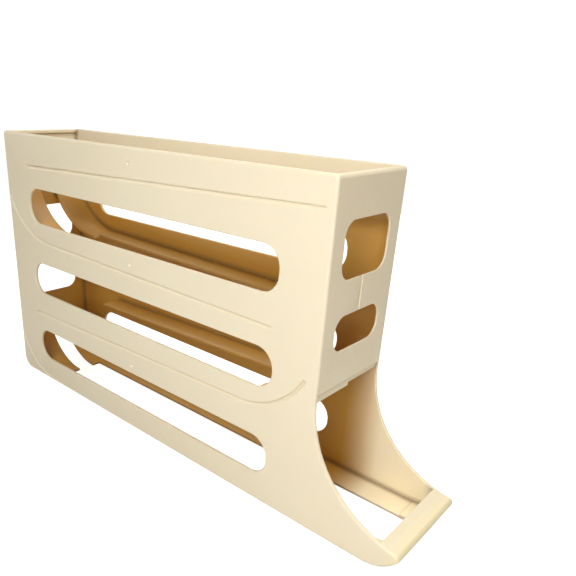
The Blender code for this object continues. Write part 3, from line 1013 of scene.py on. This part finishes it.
# %% Build the shell of each half
def shell(half):
    side = SIDES[half]
    piece = side_panel(side)
    added = [
        end_wall("front_wall", FRONT - FLUSH, FRONT - END_WALL, FRONT_FOOT, FRONT_WINDOWS),
        end_wall("back_wall", BACK + FLUSH, BACK + END_WALL, BACK_FOOT, BACK_WINDOWS),
        top_rim("front_rim", FRONT - 2 * FLUSH, -1),
        top_rim("back_rim", BACK + 2 * FLUSH, 1),
        front_tongue(half),
        lip(),
    ]
    softener = soft_block()
    cut = [seam_tool(half), groove_cutter(side), gate_cutters(side)]
    if half == "near":
        cut += seam_breaks()
    tabs = [
        snap_tab(side, FRONT - END_WALL, -1, TAB_FLOORS[half]["front"]),
        snap_tab(side, BACK + END_WALL, 1, TAB_FLOORS[half]["back"]),
    ]
    for other in added:
        combine(piece, other, "UNION")
    combine(piece, softener, "INTERSECT")
    for other in cut:
        combine(piece, other, "DIFFERENCE")
    for other in tabs:
        combine(piece, other, "UNION")
    freeze(piece)
    discard(*added, softener, *cut, *tabs)
    piece.name = half + "_shell"
    piece.data.materials.clear()
    piece.data.materials.append(cream)
    return polish(piece)


shells = {half: shell(half) for half in SIDES}
print("; ".join(faces_in(piece) for piece in shells.values()))

# %% [markdown]
# ## The ledges
#
# Every tier is a pair of ledges with an open gap between them, and the guides are wider than the straight
# stretches. A ledge follows a path with the same rounded section all along, so a tree sweeps it: the path
# runs down the middle of the ledge, and a filleted rectangle is carried along it.

# %% The tree that sweeps a ledge
NOSE = 0.0007
NOSE_POINTS = 4


def ledge_tree():
    tree, given = new_tree(
        "ledge", {"Reach": PANEL_INSIDE, "Thickness": LEDGE, "Nose": NOSE, "Nose points": NOSE_POINTS}
    )
    nodes, links = tree.nodes, tree.links
    section = nodes.new("GeometryNodeCurvePrimitiveQuadrilateral")
    soften = nodes.new("GeometryNodeFilletCurve")
    soften.mode = "POLY"
    links.new(given["Reach"], section.inputs["Width"])
    links.new(given["Thickness"], section.inputs["Height"])
    links.new(section.outputs["Curve"], soften.inputs["Curve"])
    links.new(given["Nose"], soften.inputs["Radius"])
    links.new(given["Nose points"], soften.inputs["Count"])
    close_tree(tree, given, sweep_along(tree, given, soften.outputs["Curve"]))
    return tree


ledge = ledge_tree()
print(nodes_in(ledge))

# %% Sweep one tier
RAIL_OPENING = 0.026
GUIDE_OPENING = 0.013
DROP_LENGTH = 0.0493
END_ROUNDING = 0.0005
END_ANGLE = math.radians(60)
EXTRA = 0.00004
OVERLAP = 0.004


def swept(name, side, points, opening, thickness):
    reach = PANEL_INSIDE + BURIED - opening / 2
    middle = side * (opening / 2 + reach / 2)
    item = path_object(name, [[(point.x, middle, point.y) for point in points]])
    sizes = {"Reach": reach, "Thickness": thickness, "Nose": NOSE, "Nose points": NOSE_POINTS}
    grow(item, ledge, {**sizes, "Material": cream})
    round_edges(item, END_ROUNDING, END_ANGLE)
    return freeze(item)


def tier(half, name, straight, curved):
    side = SIDES[half]
    piece = swept(half + "_" + name, side, straight, RAIL_OPENING, LEDGE)
    if curved:
        bend = swept("bend", side, curved, GUIDE_OPENING, LEDGE + EXTRA)
        combine(piece, bend, "UNION")
        freeze(piece)
        discard(bend)
    return polish(piece)


# %% [markdown]
# ## Four tiers in each half
#
# The top tier is a plain ledge. The others start in a guide, swept on its own because its opening is
# narrower, and then joined. The guide is a hair thicker than the ledge, so that no two faces lie in one
# plane where they overlap. The guides at the back end a hair inside the back face.

# %% The ledges of both halves
GUIDE_HAIR = 0.00012
BACK_GUIDE_END = BACK + LEDGE / 2 + GUIDE_HAIR
FRONT_WALL_MIDDLE = FRONT - END_WALL / 2
TIER_3_GUIDE_TOP = BACK + 0.2852
BACK_DROP = BACK + END_WALL + DROP_LENGTH
FRONT_DROP = FRONT - END_WALL - DROP_LENGTH
LIP_OVERLAP = roll_centre.x + BURIED

TIERS = {
    "tray_ledge": (line_points(TRAY_LINE, BACK_DROP, FRONT_WALL_MIDDLE), None),
    "tier_2_ledge": (
        line_points(TIER_2_LINE, TIER_2_GUIDE[0] - OVERLAP, FRONT_DROP),
        guide(TIER_2_LINE, *TIER_2_GUIDE, BACK_GUIDE_END),
    ),
    "tier_3_ledge": (
        line_points(TIER_3_LINE, BACK_DROP, TIER_3_GUIDE[0] + OVERLAP),
        guide(TIER_3_LINE, *TIER_3_GUIDE, TIER_3_GUIDE_TOP),
    ),
    "tier_4_ledge": (
        line_points(TIER_4_LINE, TIER_4_GUIDE[0] - OVERLAP, LIP_OVERLAP),
        guide(TIER_4_LINE, *TIER_4_GUIDE, BACK_GUIDE_END),
    ),
}
ledges = {half: {name: tier(half, name, *paths) for name, paths in TIERS.items()} for half in SIDES}
for half in SIDES:
    print("; ".join(faces_in(piece) for piece in ledges[half].values()))

# %% [markdown]
# ## Riding on the frame
#
# Each piece rides on the body of its half, so the halves still pull apart. The imported nodes that it
# stands for are hidden.

# %% Put every piece on its body
STANDS_FOR = {
    "tray_ledge": ("tray_rail",),
    "tier_2_ledge": ("tier_2_rail", "tier_2_guide"),
    "tier_3_ledge": ("tier_3_rail", "tier_3_guide"),
    "tier_4_ledge": ("tier_4_rail", "tier_4_guide"),
}
SHELL_STANDS_FOR = ("side_panel", "front_wall", "back_wall", "outlet_lip")

for half in SIDES:
    pieces = {shells[half]: SHELL_STANDS_FOR}
    pieces.update({ledges[half][name]: nodes for name, nodes in STANDS_FOR.items()})
    for piece, nodes in pieces.items():
        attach(piece, half + "_half")
        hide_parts(*[half + "_" + node for node in nodes])
    print(half + "_half carries", len(pieces), "pieces")

# %% [markdown]
# ## The floor
#
# The photograph's ground is plain white. A floor that bright would also throw too much light up into the
# object, so this one is a little greyer than it looks, and glows to the camera only.

# %% A plain pale floor
WHITE = (1.0, 1.0, 1.0, 1.0)
FLOOR_SIZE = 1.8
FLOOR_COLOUR = (0.74, 0.74, 0.74, 1.0)
FLOOR_ROUGHNESS = 0.75
FLOOR_GLOW = 0.76


def floor_material():
    """Plain white, and a little brighter to the camera than to the object that stands on it."""
    material = bpy.data.materials.new("pale_floor")
    material.use_nodes = True
    nodes = material.node_tree.nodes
    links = material.node_tree.links
    shader = nodes["Principled BSDF"]
    shader.inputs["Base Color"].default_value = FLOOR_COLOUR
    shader.inputs["Roughness"].default_value = FLOOR_ROUGHNESS
    shader.inputs["Emission Color"].default_value = WHITE
    path = nodes.new("ShaderNodeLightPath")
    glow = nodes.new("ShaderNodeMath")
    glow.operation = "MULTIPLY"
    glow.inputs[1].default_value = FLOOR_GLOW
    links.new(path.outputs["Is Camera Ray"], glow.inputs[0])
    links.new(glow.outputs["Value"], shader.inputs["Emission Strength"])
    return material


floor_mesh = bpy.data.meshes.new("floor")
floor_shape = bmesh.new()
bmesh.ops.create_grid(floor_shape, x_segments=1, y_segments=1, size=FLOOR_SIZE / 2)
floor_shape.to_mesh(floor_mesh)
floor_shape.free()
floor = add_object("floor", floor_mesh)
floor_mesh.materials.append(floor_material())
print("floor:", FLOOR_SIZE, "m square")

# %% [markdown]
# ## World and lights
#
# A trace of light from all round keeps the shadows open, and the backdrop is white only where the camera
# looks at it. Then come seven soft lights. The corner pair lights the near panel, brighter toward the front.
# The high one of the two is small, which draws the pressed lines crisply. The rest fill the outlet, the
# front wall, the left end and the tray, and one stands behind for the sides that the camera doesn't see.
# Each line of the table gives a light's place, its width in metres, its power in watts and its tint.

# %% The world
WORLD_LIGHT = 0.02
BACKDROP_LIGHT = 1.05


def studio_world():
    """A trace of light from all round, in front of a white backdrop."""
    world = bpy.data.worlds.new("studio")
    world.use_nodes = True
    nodes = world.node_tree.nodes
    links = world.node_tree.links
    lit = nodes["Background"]
    lit.inputs["Color"].default_value = WHITE
    lit.inputs["Strength"].default_value = WORLD_LIGHT
    seen = nodes.new("ShaderNodeBackground")
    seen.inputs["Color"].default_value = WHITE
    seen.inputs["Strength"].default_value = BACKDROP_LIGHT
    path = nodes.new("ShaderNodeLightPath")
    mix = nodes.new("ShaderNodeMixShader")
    links.new(path.outputs["Is Camera Ray"], mix.inputs["Fac"])
    links.new(lit.outputs["Background"], mix.inputs[1])
    links.new(seen.outputs["Background"], mix.inputs[2])
    links.new(mix.outputs["Shader"], nodes["World Output"].inputs["Surface"])
    return world


bpy.context.scene.world = studio_world()
bpy.context.scene.view_settings.view_transform = "Standard"
print("world:", bpy.context.scene.world.name)

# %% Seven soft lights
AIM = Vector((0.08, 0.0, 0.09))
SOFT_LIGHTS = {
    "near_corner": (Vector((0.20, -0.44, 0.28)), 0.22, 0.90, WHITE[:3]),
    "high_corner": (Vector((0.12, -0.40, 0.60)), 0.14, 1.56, WHITE[:3]),
    "low_front": (Vector((0.40, -0.30, 0.12)), 0.14, 0.25, (1.0, 0.95, 0.87)),
    "over_front": (Vector((0.42, 0.04, 0.56)), 0.28, 1.06, (1.0, 0.94, 0.86)),
    "far_left": (Vector((-0.9, -0.3, 0.5)), 0.80, 2.25, (1.0, 0.96, 0.84)),
    "over_back": (Vector((0.0, 0.6, 1.0)), 0.80, 5.6, (1.0, 0.97, 0.88)),
    "behind": (Vector((-0.65, 0.75, 0.45)), 0.60, 3.4, (1.0, 0.97, 0.91)),
}


def soft_light(name, place, size, power, tint):
    light = bpy.data.lights.new(name, "AREA")
    light.energy = power
    light.shape = "DISK"
    light.size = size
    light.color = tint
    item = add_object(name, light)
    turn = (AIM - place).to_track_quat("-Z", "Y").to_matrix().to_4x4()
    item.matrix_world = Matrix.Translation(place) @ turn
    return item


for light_name, settings in SOFT_LIGHTS.items():
    soft_light(light_name, *settings)
print("lights:", ", ".join(SOFT_LIGHTS))

# %% [markdown]
# ## The camera
#
# The photograph's perspective was solved from the panel's straight edges and the ends of its slots. That
# gives the camera's place, two of its axes and its lens. The small shift is the photograph's framing.

# %% The camera of the photograph
CAMERA_PLACE = Vector((0.255957, -0.259240, 0.220224))
CAMERA_RIGHT = Vector((0.732454, 0.679977, 0.033802))
CAMERA_DOWN = Vector((0.279172, -0.254692, -0.925848))
CAMERA_LENS = 36.859
CAMERA_SENSOR = 36.0
CAMERA_SHIFT = (0.1160, 0.0777)
CAMERA_NEAREST = 0.01

camera_data = bpy.data.cameras.new("camera")
camera_data.lens = CAMERA_LENS
camera_data.sensor_width = CAMERA_SENSOR
camera_data.shift_x, camera_data.shift_y = CAMERA_SHIFT
camera_data.clip_start = CAMERA_NEAREST
camera = add_object("camera", camera_data)
camera_back = CAMERA_RIGHT.cross(-CAMERA_DOWN)
camera_turn = Matrix((CAMERA_RIGHT, -CAMERA_DOWN, camera_back)).transposed().to_4x4()
camera.matrix_world = Matrix.Translation(CAMERA_PLACE) @ camera_turn
bpy.context.scene.camera = camera
print("camera:", round(CAMERA_LENS, 1), "mm lens")
